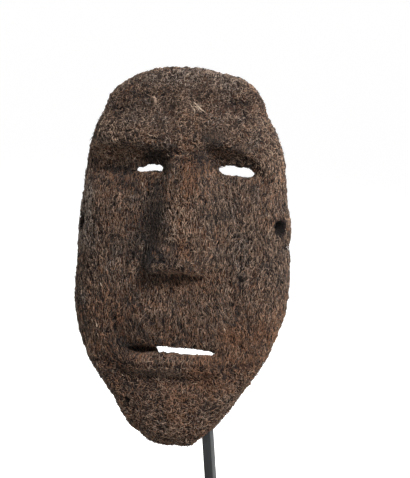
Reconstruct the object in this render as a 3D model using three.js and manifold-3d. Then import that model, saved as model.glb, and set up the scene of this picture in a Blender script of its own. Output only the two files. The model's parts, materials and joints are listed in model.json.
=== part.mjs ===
// A carved tree fern mask on its steel display stand.
// Millimetres, +Z up, the face looks along -Y and +X is on the viewer's right.
// The origin is the middle of the foot's underside.
// The carving is worked out in the mask's own frame: z is the height above the tip of the chin, and y is 0 at
// the flat back of the rim and negative towards the viewer.
import * as THREE from "three";
import { mergeVertices } from "three/addons/utils/BufferGeometryUtils.js";
import Module from "manifold-3d";

// Driving dimensions of the stand
const FOOT = { width: 170, depth: 160, thickness: 10, bevel: 1.2 };
const POST = { width: 10, depth: 20, x: 3, y: 32, topAboveChin: 70 };
const CRADLE = { diameter: 6, sides: 10, steps: 72, height: 62 };
const CHIN_ABOVE_FLOOR = 112;
const RIM_Y = -16;
const TILT = { degrees: 3.6, aboveChin: 230 };
const CONTACT_GAP = 0.3;

// Driving dimensions of the carving
const HEIGHT = 426;
const GRID = { sideColumns: 14, flankColumns: 3, frontColumns: 6, ease: 1.7, nominalHalfWidth: 115 };
const DOME = { across: 2.8, chinFrom: 62, chinPower: 2.2, crownFrom: 352, crownPower: 2.4 };
const HOLLOW = { halfWidth: 98, bottom: 58, top: 406, depth: 36, power: 2.3, domePower: 3.4, rays: 44, rings: 11 };
const BROW = { height: 9, above: 22, lip: 3, below: 6 };
const SOCKET = { depth: 15, lidDrop: 27, step: 9, cheekFade: 30, noseFrom: 10, noseTo: 26 };
const NOSE = { under: 205, base: 215, wingDrop: 6, top: 330, tipHeight: 25, bridgeHeight: 20, roundness: 0.1, edge: 0.15 };
const MOUTH_LINE = { left: 119, right: 116 };
const LIPS = { halfWidth: 58, upper: 5, lower: 7, lowerZ: 102, lowerSpan: 11 };
const CHIN = { x: -4, z: 42, radius: 34, height: 5 };
const SIDE_HOLE = { x: 112.5, y: -27, z: 253, diameter: 20, turn: 12 };
const SPLIT = { z: 229, width: 2.8, depth: 5 };

const COLOURS = { fern: 0x4a382c, steel: 0x2b2c2e };

// The outline seen from the front: how far each side reaches at a height, as [z, x]
const RIGHT_SIDE = [
  [0, 8], [6, 16], [30, 43], [67, 72], [100, 95], [131, 109], [160, 118], [190, 121], [230, 120], [250, 122],
  [272, 118], [321, 114], [345, 109.5], [372, 96], [384, 90.5], [396, 88], [408, 77], [420, 53], [HEIGHT, 16],
];
const LEFT_SIDE = [
  [0, -18], [6, -32], [27, -56], [63, -79], [95, -101], [127, -114], [163, -120.5], [199, -119], [254, -115],
  [290, -110], [335, -102], [352, -98], [372, -87], [385, -83], [398, -76], [408, -64], [420, -42], [HEIGHT, -22],
];
// Depths in front of the flat back, as [z, depth]: the face's middle, and the rim, which is cut back at the jaw
const FACE_DEPTH = [[0, 44], [50, 53], [80, 53], [120, 57], [160, 61], [250, 61], [350, 62], [385, 58], [HEIGHT, 46]];
const RIM_DEPTH = [[0, 20], [60, 19], [105, 15], [150, 7], [200, 0], [380, 0], [HEIGHT, 6]];
// The brow's lower edge and the line of the eyes, as [x, z]
const BROW_EDGE = [
  [-112, 324], [-89, 341], [-64, 348.5], [-34, 349], [-10, 346], [6, 344], [21, 346], [39, 349.5], [61, 346.5],
  [79, 341], [94, 328], [104, 314], [113, 298],
];
const EYE_LINE = [[-92, 314], [-60, 313.5], [-36, 316], [-10, 319.5], [20, 320], [50, 317], [70, 316], [90, 313], [104, 306]];
// The nose: its middle, half the width of its front, and how far its two flanks spread, as [z, size]
const NOSE_MIDDLE = [[215, 2], [229, 12.5], [245, 19.5], [266, 20.5], [285, 20], [326, 19]];
const NOSE_FRONT = [[215, 20.5], [229, 19.5], [245, 18.5], [266, 19], [285, 19.5], [326, 13.5]];
const NOSE_FLANK = { left: [[215, 13], [245, 27], [285, 25], [326, 20]], right: [[215, 27], [245, 28], [285, 27], [326, 17]] };
// Shallow furrows, as the points they run through, [x, z], with their half width and depth
const FURROWS = [
  { points: [[-114, 160], [-90, 116], [-62, 88], [-22, 81], [30, 81]], halfWidth: 11, depth: 3.6 },
  { points: [[50, 113], [58, 104], [66, 88]], halfWidth: 6, depth: 3 },
  { points: [[52, 194], [64, 176], [74, 160], [66, 132]], halfWidth: 11, depth: 3 },
  { points: [[-30, 209], [-46, 169], [-54, 132]], halfWidth: 11, depth: 2 },
];
// Through cuts, as [x, z] on the face
const LEFT_EYE = [[-43, 315.2], [-29, 315.6], [-11, 317], [-11, 323.2], [-27, 322.2], [-39, 319]];
const RIGHT_EYE = [[48.5, 321.5], [52, 316], [63, 313.8], [79, 312], [87, 316.5], [80, 321.6], [67, 323.4]];
const MOUTH = [[-20, 113.6], [24, 112.8], [46, 112.8], [51, 114.4], [36, 119.4], [8, 122.4], [-20, 122.2]];
const MOUTH_RECESS = { points: [[-56, 117], [-44, 113.8], [-17, 113.4], [-17, 122.2], [-42, 121.6], [-54, 119.4]], floor: 46 };

const wasm = await Module();
wasm.setup();

const { clamp, lerp, smoothstep, degToRad } = THREE.MathUtils;
const bell = (distance) => Math.exp(-distance * distance);
const dome = (s, power) => (1 - s ** power) ** (1 / power);

/** A smooth value at t through [t, value] pairs, by Hermite pieces. */
function through(pairs, t) {
  const last = pairs.length - 1;
  const at = clamp(t, pairs[0][0], pairs[last][0]);
  const next = pairs.findIndex((pair) => pair[0] > at);
  const k = next < 0 ? last - 1 : next - 1;
  const slope = (a, b) => (pairs[b][1] - pairs[a][1]) / (pairs[b][0] - pairs[a][0]);
  const width = pairs[k + 1][0] - pairs[k][0];
  const start = slope(Math.max(k - 1, 0), k + 1) * width;
  const end = slope(k, Math.min(k + 2, last)) * width;
  const u = (at - pairs[k][0]) / width;
  const [a, rise] = [pairs[k][1], pairs[k + 1][1] - pairs[k][1]];
  return a + u * (start + u * (3 * rise - 2 * start - end + u * (start + end - 2 * rise)));
}

/** How far a point is from a path of straight pieces. */
function distanceToPath(points, x, z) {
  const lengths = points.slice(1).map(([bx, bz], i) => {
    const [ax, az] = points[i];
    const along = clamp(((x - ax) * (bx - ax) + (z - az) * (bz - az)) / ((bx - ax) ** 2 + (bz - az) ** 2), 0, 1);
    return Math.hypot(x - lerp(ax, bx, along), z - lerp(az, bz, along));
  });
  return Math.min(...lengths);
}

/** The broad nose: flat in front, steep at its left flank, cut under at its base. */
function noseRelief(x, z) {
  const off = x - through(NOSE_MIDDLE, z);
  const front = through(NOSE_FRONT, z);
  const flank = through(off < 0 ? NOSE_FLANK.left : NOSE_FLANK.right, z);
  const [start, end] = [front, front + flank];
  const fall = lerp(clamp((Math.abs(off) - start) / (end - start), 0, 1), smoothstep(Math.abs(off), start, end), NOSE.edge);
  const section = 1 - fall - NOSE.roundness * Math.min((off / front) ** 2, 1);
  const along = clamp((z - NOSE.base) / (NOSE.top - NOSE.base), 0, 1);
  const drop = NOSE.wingDrop * smoothstep(x, 12, 44);
  const ends = smoothstep(z + drop, NOSE.under, NOSE.base) * (1 - smoothstep(z, NOSE.top - 4, NOSE.top + 20));
  return lerp(NOSE.tipHeight, NOSE.bridgeHeight, along) * Math.max(section, 0) * ends;
}

/** The heavy brow: rounded above, and cut away sharply along its lower edge. */
function browRelief(x, z) {
  const above = z - through(BROW_EDGE, x);
  const top = above - BROW.lip;
  return BROW.height * (top < 0 ? smoothstep(above, -BROW.below, BROW.lip) : bell(top / BROW.above));
}

/** The eye sockets: the lid falls back from the brow to the slit, and the cheek starts again with a step. */
function socketRelief(x, z) {
  const below = through(BROW_EDGE, x) - z;
  const underLine = through(EYE_LINE, x) - z;
  const lid = smoothstep(below, -2, SOCKET.lidDrop);
  const cheek = smoothstep(underLine, 0, 6);
  const fade = 1 - smoothstep(underLine, 4, SOCKET.cheekFade);
  const besideNose = smoothstep(Math.abs(x - through(NOSE_MIDDLE, z)), SOCKET.noseFrom, SOCKET.noseTo);
  return -(SOCKET.depth * lid - SOCKET.step * cheek) * fade * besideNose;
}

/** The lips, the chin, and the hollows round them. */
function mouthRelief(x, z) {
  const line = lerp(MOUTH_LINE.left, MOUTH_LINE.right, smoothstep(x, -LIPS.halfWidth, LIPS.halfWidth));
  const side = 1 - smoothstep(Math.abs(x), 0.7 * LIPS.halfWidth, 1.12 * LIPS.halfWidth);
  const upper = LIPS.upper * side * smoothstep(z, line, line + 9) * (1 - smoothstep(z, line + 24, 184));
  const parting = -3.5 * side * bell((z - line) / 6);
  const lower = LIPS.lower * side * bell((z - LIPS.lowerZ) / LIPS.lowerSpan);
  const chin = CHIN.height * bell(Math.hypot(x - CHIN.x, z - CHIN.z) / CHIN.radius);
  const corner = -5 * bell(Math.hypot((x + 46) / 22, (z - 131) / 14));
  return upper + parting + lower + chin + corner;
}

/** The hollows over the brow and at the temples, the fuller cheeks, and the furrows. */
function broadRelief(x, z) {
  const overBrow = -4 * bell((z - 386) / 12) * bell((x - 5) / 55);
  const temples = -5 * (bell(Math.hypot((x + 68) / 17, (z - 379) / 12)) + bell(Math.hypot((x - 62) / 20, (z - 388) / 9)));
  const cheeks = 3 * (bell((x - 84) / 30) + bell((x + 66) / 30)) * bell((z - 235) / 50);
  const furrows = FURROWS.map(({ points, halfWidth, depth }) => -depth * bell(distanceToPath(points, x, z) / halfWidth));
  return furrows.reduce((sum, value) => sum + value, overBrow + temples + cheeks);
}

/** The depth of the face in front of the flat back. */
function faceDepth(x, z) {
  const [left, right] = [through(LEFT_SIDE, z), through(RIGHT_SIDE, z)];
  const across = Math.min(Math.abs(2 * x - left - right) / (right - left), 1);
  const chinEnd = dome(clamp(1 - z / DOME.chinFrom, 0, 1), DOME.chinPower);
  const crownEnd = dome(clamp((z - DOME.crownFrom) / (HEIGHT - DOME.crownFrom), 0, 1), DOME.crownPower);
  const rounding = dome(across, DOME.across) * chinEnd * crownEnd;
  const rim = through(RIM_DEPTH, z);
  const carving = noseRelief(x, z) + browRelief(x, z) + socketRelief(x, z) + mouthRelief(x, z) + broadRelief(x, z);
  return rim + (through(FACE_DEPTH, z) - rim) * rounding + carving * (1 - across ** 7) * chinEnd * crownEnd;
}

/** The heights that the rows of the carving follow, each with the number of rows up to the next. */
const LEVELS = [
  { at: () => 0, rows: 9 },
  { at: () => 80, rows: 4 },
  { at: () => 103, rows: 3 },
  { at: () => 113, rows: 3 },
  { at: () => 123, rows: 3 },
  { at: () => 133, rows: 5 },
  { at: (x) => NOSE.under - 2 - NOSE.wingDrop * smoothstep(x, 7, 30), rows: 4 },
  { at: (x) => NOSE.base + 1 - NOSE.wingDrop * smoothstep(x, 7, 30), rows: 8 },
  { at: (x) => through(EYE_LINE, x) - 7, rows: 2 },
  { at: (x) => through(EYE_LINE, x) + 1, rows: 3 },
  { at: (x) => through(BROW_EDGE, x) - BROW.below, rows: 3 },
  { at: (x) => through(BROW_EDGE, x) + BROW.lip, rows: 4 },
  { at: (x) => through(BROW_EDGE, x) + 36, rows: 7 },
  { at: () => HEIGHT, rows: 0 },
];

/** A column's x at a height: crowded at the rim, and following the nose's two feet and two edges. */
function columnX(column, z) {
  const [left, right] = [through(LEFT_SIDE, z), through(RIGHT_SIDE, z)];
  const [middle, front] = [through(NOSE_MIDDLE, z), through(NOSE_FRONT, z)];
  const edgeLeft = Math.max(middle - front, 0.2 * left);
  const edgeRight = Math.min(middle + front, 0.4 * right);
  const footLeft = Math.max(edgeLeft - through(NOSE_FLANK.left, z), 0.45 * left);
  const footRight = Math.min(edgeRight + through(NOSE_FLANK.right, z), 0.5 * right);
  const { sideColumns, flankColumns, frontColumns, ease } = GRID;
  const mirrored = 2 * (sideColumns + flankColumns) + frontColumns - column;
  if (column <= sideColumns) return lerp(left, footLeft, (column / sideColumns) ** ease);
  if (mirrored <= sideColumns) return lerp(right, footRight, (mirrored / sideColumns) ** ease);
  const [past, pastMirrored] = [column - sideColumns, mirrored - sideColumns];
  if (past <= flankColumns) return lerp(footLeft, edgeLeft, past / flankColumns);
  if (pastMirrored <= flankColumns) return lerp(footRight, edgeRight, pastMirrored / flankColumns);
  return lerp(edgeLeft, edgeRight, (past - flankColumns) / frontColumns);
}

/** The closed section of the uncut mask along one row: the face, then the flat back. */
function sectionRing(heightAt) {
  const columns = 2 * (GRID.sideColumns + GRID.flankColumns) + GRID.frontColumns;
  const face = Array.from({ length: columns + 1 }, (_, column) => {
    const share = (2 * column) / columns - 1;
    const z = heightAt(share * GRID.nominalHalfWidth);
    const x = columnX(column, z);
    return [x, -faceDepth(x, z), z];
  });
  const [start, end] = [face[0], face[columns]];
  const back = [0.2, 0.5, 0.8].map((share) => end.map((value, i) => lerp(value, start[i], share)));
  return [...face, ...back];
}

/** A closed solid from rings of points that start and end in a single point. */
function ringSolid(first, rings, last) {
  const count = rings[0].length;
  const positions = [first, ...rings.flat(), last].flat();
  const faces = [];
  const at = (ring, i) => 1 + ring * count + (i % count);
  const end = 1 + rings.length * count;
  for (let i = 0; i < count; i++) {
    faces.push(0, at(0, i + 1), at(0, i));
    faces.push(end, at(rings.length - 1, i), at(rings.length - 1, i + 1));
    for (let ring = 0; ring + 1 < rings.length; ring++) {
      faces.push(at(ring, i), at(ring, i + 1), at(ring + 1, i));
      faces.push(at(ring, i + 1), at(ring + 1, i + 1), at(ring + 1, i));
    }
  }
  return toSolid(new THREE.BufferGeometry()
    .setAttribute("position", new THREE.Float32BufferAttribute(positions, 3))
    .setIndex(faces));
}

/** A three.js geometry as a manifold solid, whichever way round its faces are. */
function toSolid(geometry) {
  const bare = geometry.clone();
  bare.deleteAttribute("normal");
  bare.deleteAttribute("uv");
  const merged = mergeVertices(bare, 1e-4);
  const make = (triVerts) => new wasm.Manifold(
    new wasm.Mesh({ numProp: 3, vertProperties: merged.attributes.position.array, triVerts }),
  );
  const triVerts = new Uint32Array(merged.index.array);
  const solid = make(triVerts);
  return solid.volume() > 0 ? solid : make(triVerts.reverse());
}

/** A manifold solid as a three.js geometry. */
function toGeometry(solid) {
  const mesh = solid.getMesh();
  return new THREE.BufferGeometry()
    .setAttribute("position", new THREE.BufferAttribute(new Float32Array(mesh.vertProperties), 3))
    .setIndex(new THREE.BufferAttribute(new Uint32Array(mesh.triVerts), 1));
}

/** The mask before it is hollowed. */
function carvedBlock() {
  const rings = LEVELS.slice(0, -1).flatMap((level, k) => Array.from({ length: level.rows }, (_, row) => {
    const even = row / level.rows;
    const eased = k === 0 ? 1 - Math.cos((Math.PI / 2) * even) : even;
    const share = k === LEVELS.length - 2 ? Math.sin((Math.PI / 2) * even) : eased;
    return sectionRing((x) => lerp(level.at(x), LEVELS[k + 1].at(x), share));
  }));
  const tip = (z, sides) => [(sides[0] + sides[1]) / 2, -through(RIM_DEPTH, z), z];
  const ends = (z) => [through(LEFT_SIDE, z), through(RIGHT_SIDE, z)];
  return ringSolid(tip(0, ends(0)), rings.slice(1), tip(HEIGHT, ends(HEIGHT)));
}

/** The wearer's side: an oval bowl, open at the back. */
function hollow() {
  const middle = (HOLLOW.top + HOLLOW.bottom) / 2;
  const halfHeight = (HOLLOW.top - HOLLOW.bottom) / 2;
  const ring = (s, y) => Array.from({ length: HOLLOW.rays }, (_, i) => {
    const angle = (2 * Math.PI * i) / HOLLOW.rays;
    const squared = (value) => Math.sign(value) * Math.abs(value) ** (2 / HOLLOW.power);
    return [HOLLOW.halfWidth * s * squared(Math.sin(angle)), y, middle - halfHeight * s * squared(Math.cos(angle))];
  });
  const bowl = [];
  for (let j = 1; j <= HOLLOW.rings; j++) {
    const s = Math.sin((Math.PI / 2) * (j / HOLLOW.rings));
    bowl.push(ring(s, -HOLLOW.depth * dome(s, HOLLOW.domePower)));
  }
  return ringSolid([0, -HOLLOW.depth, middle], [...bowl, ring(1, 25)], [0, 25, middle]);
}

/** A cut right through the face, level in front, and wider and lower behind it. */
function throughCut(points, widen, fall) {
  const middle = points.reduce((sum, [x]) => sum + x / points.length, 0);
  const height = points.reduce((sum, [, z]) => sum + z / points.length, 0);
  const place = (y, share) => points.map(([x, z]) => (
    [x + Math.sign(x - middle) * widen * share, y, z + (z < height ? -fall : 1) * share]
  ));
  const rings = [place(-130, 0), place(-54, 0), place(-30, 1), place(12, 1)];
  return ringSolid([middle, -130, height], rings, [middle, 12, height - fall / 2]);
}

/** The blind left end of the mouth. */
function mouthRecess() {
  const shape = new THREE.Shape(MOUTH_RECESS.points.map(([x, z]) => new THREE.Vector2(x, z)));
  const geometry = new THREE.ExtrudeGeometry(shape, { depth: 60, bevelEnabled: false });
  geometry.rotateX(Math.PI / 2);
  return toSolid(geometry.translate(0, -MOUTH_RECESS.floor, 0));
}

/** The shallow crease that carries the left eye's slit out to the temple. */
function eyeCrease() {
  const shape = new THREE.Shape();
  shape.moveTo(-94, 314);
  shape.quadraticCurveTo(-68, 310.5, -41, 315.4);
  shape.lineTo(-39, 318.4);
  shape.quadraticCurveTo(-68, 313.5, -94, 315.6);
  const geometry = new THREE.ExtrudeGeometry(shape, { depth: 90, bevelEnabled: false, curveSegments: 5 });
  geometry.rotateX(Math.PI / 2);
  return toSolid(geometry.translate(0, -40, 0));
}

/** The bored holes in the side walls, for the cord that tied the mask on. */
function sideHole(side) {
  const { diameter, turn, x, y, z } = SIDE_HOLE;
  const bore = new THREE.CylinderGeometry(diameter / 2, diameter / 2, 80, 22);
  bore.rotateZ(Math.PI / 2);
  bore.rotateZ(side * degToRad(-turn));
  return toSolid(bore.translate(side * x, y, z));
}

/** The short split in the rim below the right hole. */
function rimSplit() {
  const box = new THREE.BoxGeometry(2 * SPLIT.depth, 70, SPLIT.width);
  return toSolid(box.translate(120.5, 0, SPLIT.z));
}

/** The whole mask in its own frame. */
function maskSolid() {
  return [
    hollow(),
    throughCut(LEFT_EYE, 4, 4.5),
    throughCut(RIGHT_EYE, 4, 4.5),
    throughCut(MOUTH, 4, 5.5),
    mouthRecess(),
    eyeCrease(),
    sideHole(1),
    sideHole(-1),
    rimSplit(),
  ].reduce((mask, cut) => mask.subtract(cut), carvedBlock());
}

/** A steel plate with its edges eased. */
function footGeometry() {
  const { width, depth, thickness, bevel } = FOOT;
  const shape = new THREE.Shape();
  const [halfX, halfY] = [width / 2 - bevel, depth / 2 - bevel];
  shape.moveTo(-halfX, -halfY);
  shape.lineTo(halfX, -halfY);
  shape.lineTo(halfX, halfY);
  shape.lineTo(-halfX, halfY);
  const body = { depth: thickness - 2 * bevel, bevelThickness: bevel, bevelSize: bevel, bevelSegments: 1 };
  return new THREE.ExtrudeGeometry(shape, body).translate(0, 0, bevel);
}

/** The upright flat bar, set edge-on. */
function postGeometry() {
  const bottom = FOOT.thickness + CONTACT_GAP;
  const height = CHIN_ABOVE_FLOOR + POST.topAboveChin - bottom;
  return new THREE.BoxGeometry(POST.width, POST.depth, height).translate(POST.x, POST.y, bottom + height / 2);
}

/** The round bar that carries the mask: across the post, round behind the jaw, up inside the cheeks and out. */
function cradleGeometry() {
  const radius = CRADLE.diameter / 2;
  const { height } = CRADLE;
  const onPost = POST.y - RIM_Y - POST.depth / 2 - radius - CONTACT_GAP;
  const pinZ = SIDE_HOLE.z + SIDE_HOLE.diameter / 2 - radius - 1.2;
  const half = [
    [0, onPost, height], [13, onPost - 1, height], [34, 8, height + 2], [50, -14, height + 10], [63, -11, 96],
    [75, -8, 132], [81, -6, 168], [84, -7, 208], [85, -12, 238], [87, -19.6, pinZ - 4], [91, -22.4, pinZ], [104, -25.2, pinZ],
  ];
  const left = half.slice(1).reverse().map(([x, y, z]) => [-x, y, z]);
  const points = [...left, ...half].map(([x, y, z]) => new THREE.Vector3(x, y, z));
  const path = new THREE.CatmullRomCurve3(points, false, "centripetal");
  const section = new THREE.Shape();
  section.absarc(0, 0, radius, 0, 2 * Math.PI);
  const shape = new THREE.Shape(section.getSpacedPoints(CRADLE.sides).slice(0, CRADLE.sides));
  return new THREE.ExtrudeGeometry(shape, { steps: CRADLE.steps, extrudePath: path });
}

/** A named mesh with its own material. */
function piece(name, geometry, look) {
  const mesh = new THREE.Mesh(geometry, new THREE.MeshStandardMaterial(look));
  mesh.name = name;
  return mesh;
}

const fern = { color: COLOURS.fern, roughness: 0.95, metalness: 0 };
const steel = { color: COLOURS.steel, roughness: 0.45, metalness: 0.6 };

const carried = new THREE.Group();
carried.position.z = -TILT.aboveChin;
carried.add(piece("mask", toGeometry(maskSolid()), fern));
carried.add(piece("stand_cradle", cradleGeometry(), steel));

const tilted = new THREE.Group();
tilted.position.set(0, RIM_Y, CHIN_ABOVE_FLOOR + TILT.aboveChin);
tilted.rotation.y = degToRad(TILT.degrees);
tilted.add(carried);

const object = new THREE.Group();
object.add(tilted);
object.add(piece("stand_post", postGeometry(), steel));
object.add(piece("stand_foot", footGeometry(), steel));

export default object;
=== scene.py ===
"""Looks of a carved tree fern mask on its blackened steel display stand."""

import json
import logging
import math
from dataclasses import dataclass, field
from enum import Enum
from itertools import product

import bpy
import numpy as np
from mathutils import Matrix, Vector
from mathutils.bvhtree import BVHTree

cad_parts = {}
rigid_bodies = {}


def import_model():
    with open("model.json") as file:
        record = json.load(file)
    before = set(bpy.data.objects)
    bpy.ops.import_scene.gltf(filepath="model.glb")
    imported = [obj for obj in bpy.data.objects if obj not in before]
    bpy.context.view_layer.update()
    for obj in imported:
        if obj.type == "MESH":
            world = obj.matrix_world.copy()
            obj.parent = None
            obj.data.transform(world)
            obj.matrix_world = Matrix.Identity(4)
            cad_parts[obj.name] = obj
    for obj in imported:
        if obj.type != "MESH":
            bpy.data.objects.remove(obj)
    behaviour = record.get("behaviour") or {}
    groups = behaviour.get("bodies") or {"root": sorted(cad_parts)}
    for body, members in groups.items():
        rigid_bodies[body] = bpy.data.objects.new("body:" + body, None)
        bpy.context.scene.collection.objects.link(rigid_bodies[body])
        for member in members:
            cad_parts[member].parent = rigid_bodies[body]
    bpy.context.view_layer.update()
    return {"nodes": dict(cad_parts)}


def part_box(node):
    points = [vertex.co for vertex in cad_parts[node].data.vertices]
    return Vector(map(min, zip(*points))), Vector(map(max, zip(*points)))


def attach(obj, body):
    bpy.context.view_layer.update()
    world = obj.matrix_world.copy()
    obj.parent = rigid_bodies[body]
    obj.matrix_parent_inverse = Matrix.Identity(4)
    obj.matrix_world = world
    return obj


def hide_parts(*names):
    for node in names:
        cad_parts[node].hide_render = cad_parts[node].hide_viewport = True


LOG = logging.getLogger("fern_mask")
MM = 0.001
ROOT = "root"
CM2_PER_M2 = 1e4
ANY_WAY = 180.0
SENSOR_MM = 36.0
COAT_SEED = 100
TUFT_SEED = 200

Array = np.ndarray
Triple = tuple[float, float, float]
Span = tuple[float, float]
Piece = bpy.types.Object
Socket = bpy.types.NodeSocket
Material = bpy.types.Material


class Slot(Enum):
    """The record's material slots, by name."""

    FERN = "fern_root_fibre"
    STEEL = "blackened_steel"


class Grain(Enum):
    """How the root fibres lie on a part of the carving."""

    COMBED = "combed"
    MATTED = "matted"
    GOUGED = "gouged"


@dataclass(frozen=True)
class MaskFrame:
    """The mask's own frame: x to the viewer's right, z above the tip of the chin, y 0 at the flat back."""

    tilt: float = math.radians(3.6)
    pivot: float = 230.0
    pivot_above_floor: float = 342.0
    rim_y: float = -16.0

    def to_part(self, points: Array) -> Array:
        """Turns points of the mask's frame, in millimetres, into the part's frame, in metres.

        Args:
            points: Rows of x, y and z.

        Returns:
            The rows in the part's frame.
        """
        p = np.atleast_2d(np.asarray(points, float))
        c, s = math.cos(self.tilt), math.sin(self.tilt)
        up = p[:, 2] - self.pivot
        x, z = p[:, 0] * c + up * s, self.pivot_above_floor - p[:, 0] * s + up * c
        return MM * np.stack([x, p[:, 1] + self.rim_y, z], 1)

    def from_part(self, points: Array) -> Array:
        """Turns points of the part's frame, in metres, into the mask's frame, in millimetres.

        Args:
            points: Rows of x, y and z.

        Returns:
            The rows in the mask's frame.
        """
        p = np.atleast_2d(np.asarray(points, float)) / MM
        c, s = math.cos(self.tilt), math.sin(self.tilt)
        up = p[:, 2] - self.pivot_above_floor
        return np.stack([p[:, 0] * c - up * s, p[:, 1] - self.rim_y, self.pivot + p[:, 0] * s + up * c], 1)

    def axes(self) -> tuple[Vector, Vector]:
        """The directions up the mask and across it, in the part's frame."""
        c, s = math.cos(self.tilt), math.sin(self.tilt)
        return Vector((s, 0, c)), Vector((c, 0, -s))


MASK = MaskFrame()


@dataclass(frozen=True)
class SideHole:
    """The bored hole in each side wall; fibres grow beside it and reach a little over its lip."""

    x: float = 112.5
    y: float = -27.0
    z: float = 253.0
    radius: float = 10.0
    turn: float = math.radians(12.0)
    inward: float = 26.0
    outward: float = 14.0
    painted_shade_margin: float = 0.4
    root_margin: float = 0.8
    reach: float = -3.0

    def inside(self, points: Array, margin: float = 0.0) -> Array:
        """Which points are in one of the two holes.

        Args:
            points: Rows of the mask's frame, in millimetres.
            margin: How far outside the hole's wall still counts.

        Returns:
            True or False for each row.
        """
        along = np.abs(points[:, 0]) - self.x
        off = points[:, 1] - self.y + along * math.tan(self.turn)
        away = np.hypot(off * math.cos(self.turn), points[:, 2] - self.z)
        return (away < self.radius + margin) & (along > -self.inward) & (along < self.outward)


@dataclass(frozen=True)
class RimSplit:
    """The short open split in the right rim, a V-shaped nick at the rim's outer edge."""

    x: float = 114.0
    z: float = 227.5
    half_width: float = 1.7
    depth: float = 4.5
    mouth: float = 2.3
    bottom: float = 0.4

    def inside(self, points: Array) -> Array:
        """Which points, in the mask's frame, are in or at the split."""
        return (points[:, 0] > self.x) & (np.abs(points[:, 2] - self.z) < self.half_width)

    def nick(self, points: Array, normals: Array) -> Array:
        """How far, in millimetres, the rim's outer edge is pushed in at points with these directions."""
        edge = (points[:, 0] > self.x - 2) & (normals[:, 0] > 0.3)
        return self.depth * edge * smoothstep(self.mouth, self.bottom, np.abs(points[:, 2] - self.z))


@dataclass(frozen=True)
class Slit:
    """The bounds of an opening that is cut right through the face: its walls are torn and ragged."""

    left: float
    right: float
    low: float
    high: float
    front_y: float = -38.0

    def wall(self, points: Array, normals: Array) -> Array:
        """How much each point belongs to the opening's wall near the front, from 0 to 1.

        Args:
            points: Rows of the mask's frame, in millimetres.
            normals: The surface's directions there.

        Returns:
            One number for each row.
        """
        near = (points[:, 0] > self.left) & (points[:, 0] < self.right)
        near &= (points[:, 2] > self.low) & (points[:, 2] < self.high) & (points[:, 1] < self.front_y)
        return near * smoothstep(0.95, 0.6, np.abs(normals[:, 1]))


SIDE_HOLE = SideHole()
RIM_SPLIT = RimSplit()
SLITS = (Slit(-47, -8, 311, 326), Slit(45, 91, 308, 327), Slit(-23, 54, 109, 126))


@dataclass(frozen=True)
class Roughness3D:
    """Smooth random lumps in space, from values at the corners of a lattice.

    Args:
        seed: Its seed.
        size: The width of a lump, in millimetres, or one width for each axis.
    """

    seed: int
    size: float | Triple

    def _corner(self, cell: Array) -> Array:
        """The fixed random value of each lattice corner.

        Args:
            cell: Rows of whole numbers.

        Returns:
            One number from -1 to 1 for each row.
        """
        c = cell.astype(np.int64)
        h = c[:, 0] * 73856093 ^ c[:, 1] * 19349663 ^ c[:, 2] * 83492791 ^ (self.seed * 2654435761)
        h = (h ^ (h >> 13)) * 1274126177 & 0x7FFFFFFF
        h = (h ^ (h >> 16)) * 2246822519 & 0x7FFFFFFF
        return (h ^ (h >> 15)) / 0x3FFFFFFF - 1.0

    def at(self, points: Array) -> Array:
        """The lumps' height at each point.

        Args:
            points: Rows of x, y and z, in millimetres.

        Returns:
            One number from -1 to 1 for each row.
        """
        p = points / np.asarray(self.size, float)
        base = np.floor(p)
        f = p - base
        w = f * f * (3 - 2 * f)
        total = np.zeros(len(p))
        for corner in product((0, 1), repeat=3):
            weight = math.prod(w[:, i] if far else 1 - w[:, i] for i, far in enumerate(corner))
            total += weight * self._corner(base + corner)
        return total


LUMPS = Roughness3D(11, 11.0)
CLUMPS = Roughness3D(12, 4.2)
FINE = Roughness3D(13, 2.4)
STREAKS = Roughness3D(14, (2.6, 2.6, 13.0))
PITS = Roughness3D(15, (2.9, 4.0, 4.2))
PIT_PATCHES = Roughness3D(16, 14.0)
BED_RUST = Roughness3D(17, 26.0)
TEARS = Roughness3D(18, (2.7, 40.0, 2.7))
SWELL = Roughness3D(19, 27.0)
BLOTCHES = Roughness3D(21, 17.0)
PATCHES = Roughness3D(22, 7.0)
REDDISH = Roughness3D(23, 19.0)
WEATHERED = Roughness3D(24, 15.0)
SWAY = Roughness3D(25, 24.0)
KNOT_WEAR = Roughness3D(31, 2.2)


@dataclass(frozen=True)
class Mark:
    """A small feature of the surface that shows in its own place on the face; many are painted shade or
    painted light.

    Args:
        x: Its middle to the viewer's right, in the mask's frame, in millimetres.
        z: Its middle above the tip of the chin.
        across: Its half width.
        high: Its half height.
        depth: How far it is sunk, or raised when negative.
        painted_shade: How much darker it is, or lighter when negative.
        turn: How far it is turned clockwise, in degrees.
        warm: How much rustier its fibres are, or greyer when negative.
    """

    x: float
    z: float
    across: float
    high: float
    depth: float
    painted_shade: float
    turn: float = 0.0
    warm: float = 0.0

    def weight(self, points: Array) -> Array:
        """How strongly the mark works at each point of the front, from 0 to 1.

        Args:
            points: Rows of the mask's frame.

        Returns:
            One number for each row.
        """
        c, s = math.cos(math.radians(self.turn)), math.sin(math.radians(self.turn))
        dx, dz = points[:, 0] - self.x, points[:, 2] - self.z
        u, v = dx * c - dz * s, dx * s + dz * c
        r2 = (u / self.across) ** 2 + (v / self.high) ** 2
        return np.where(points[:, 1] < -8, np.exp(-1.2 * r2 * r2), 0.0)
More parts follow.
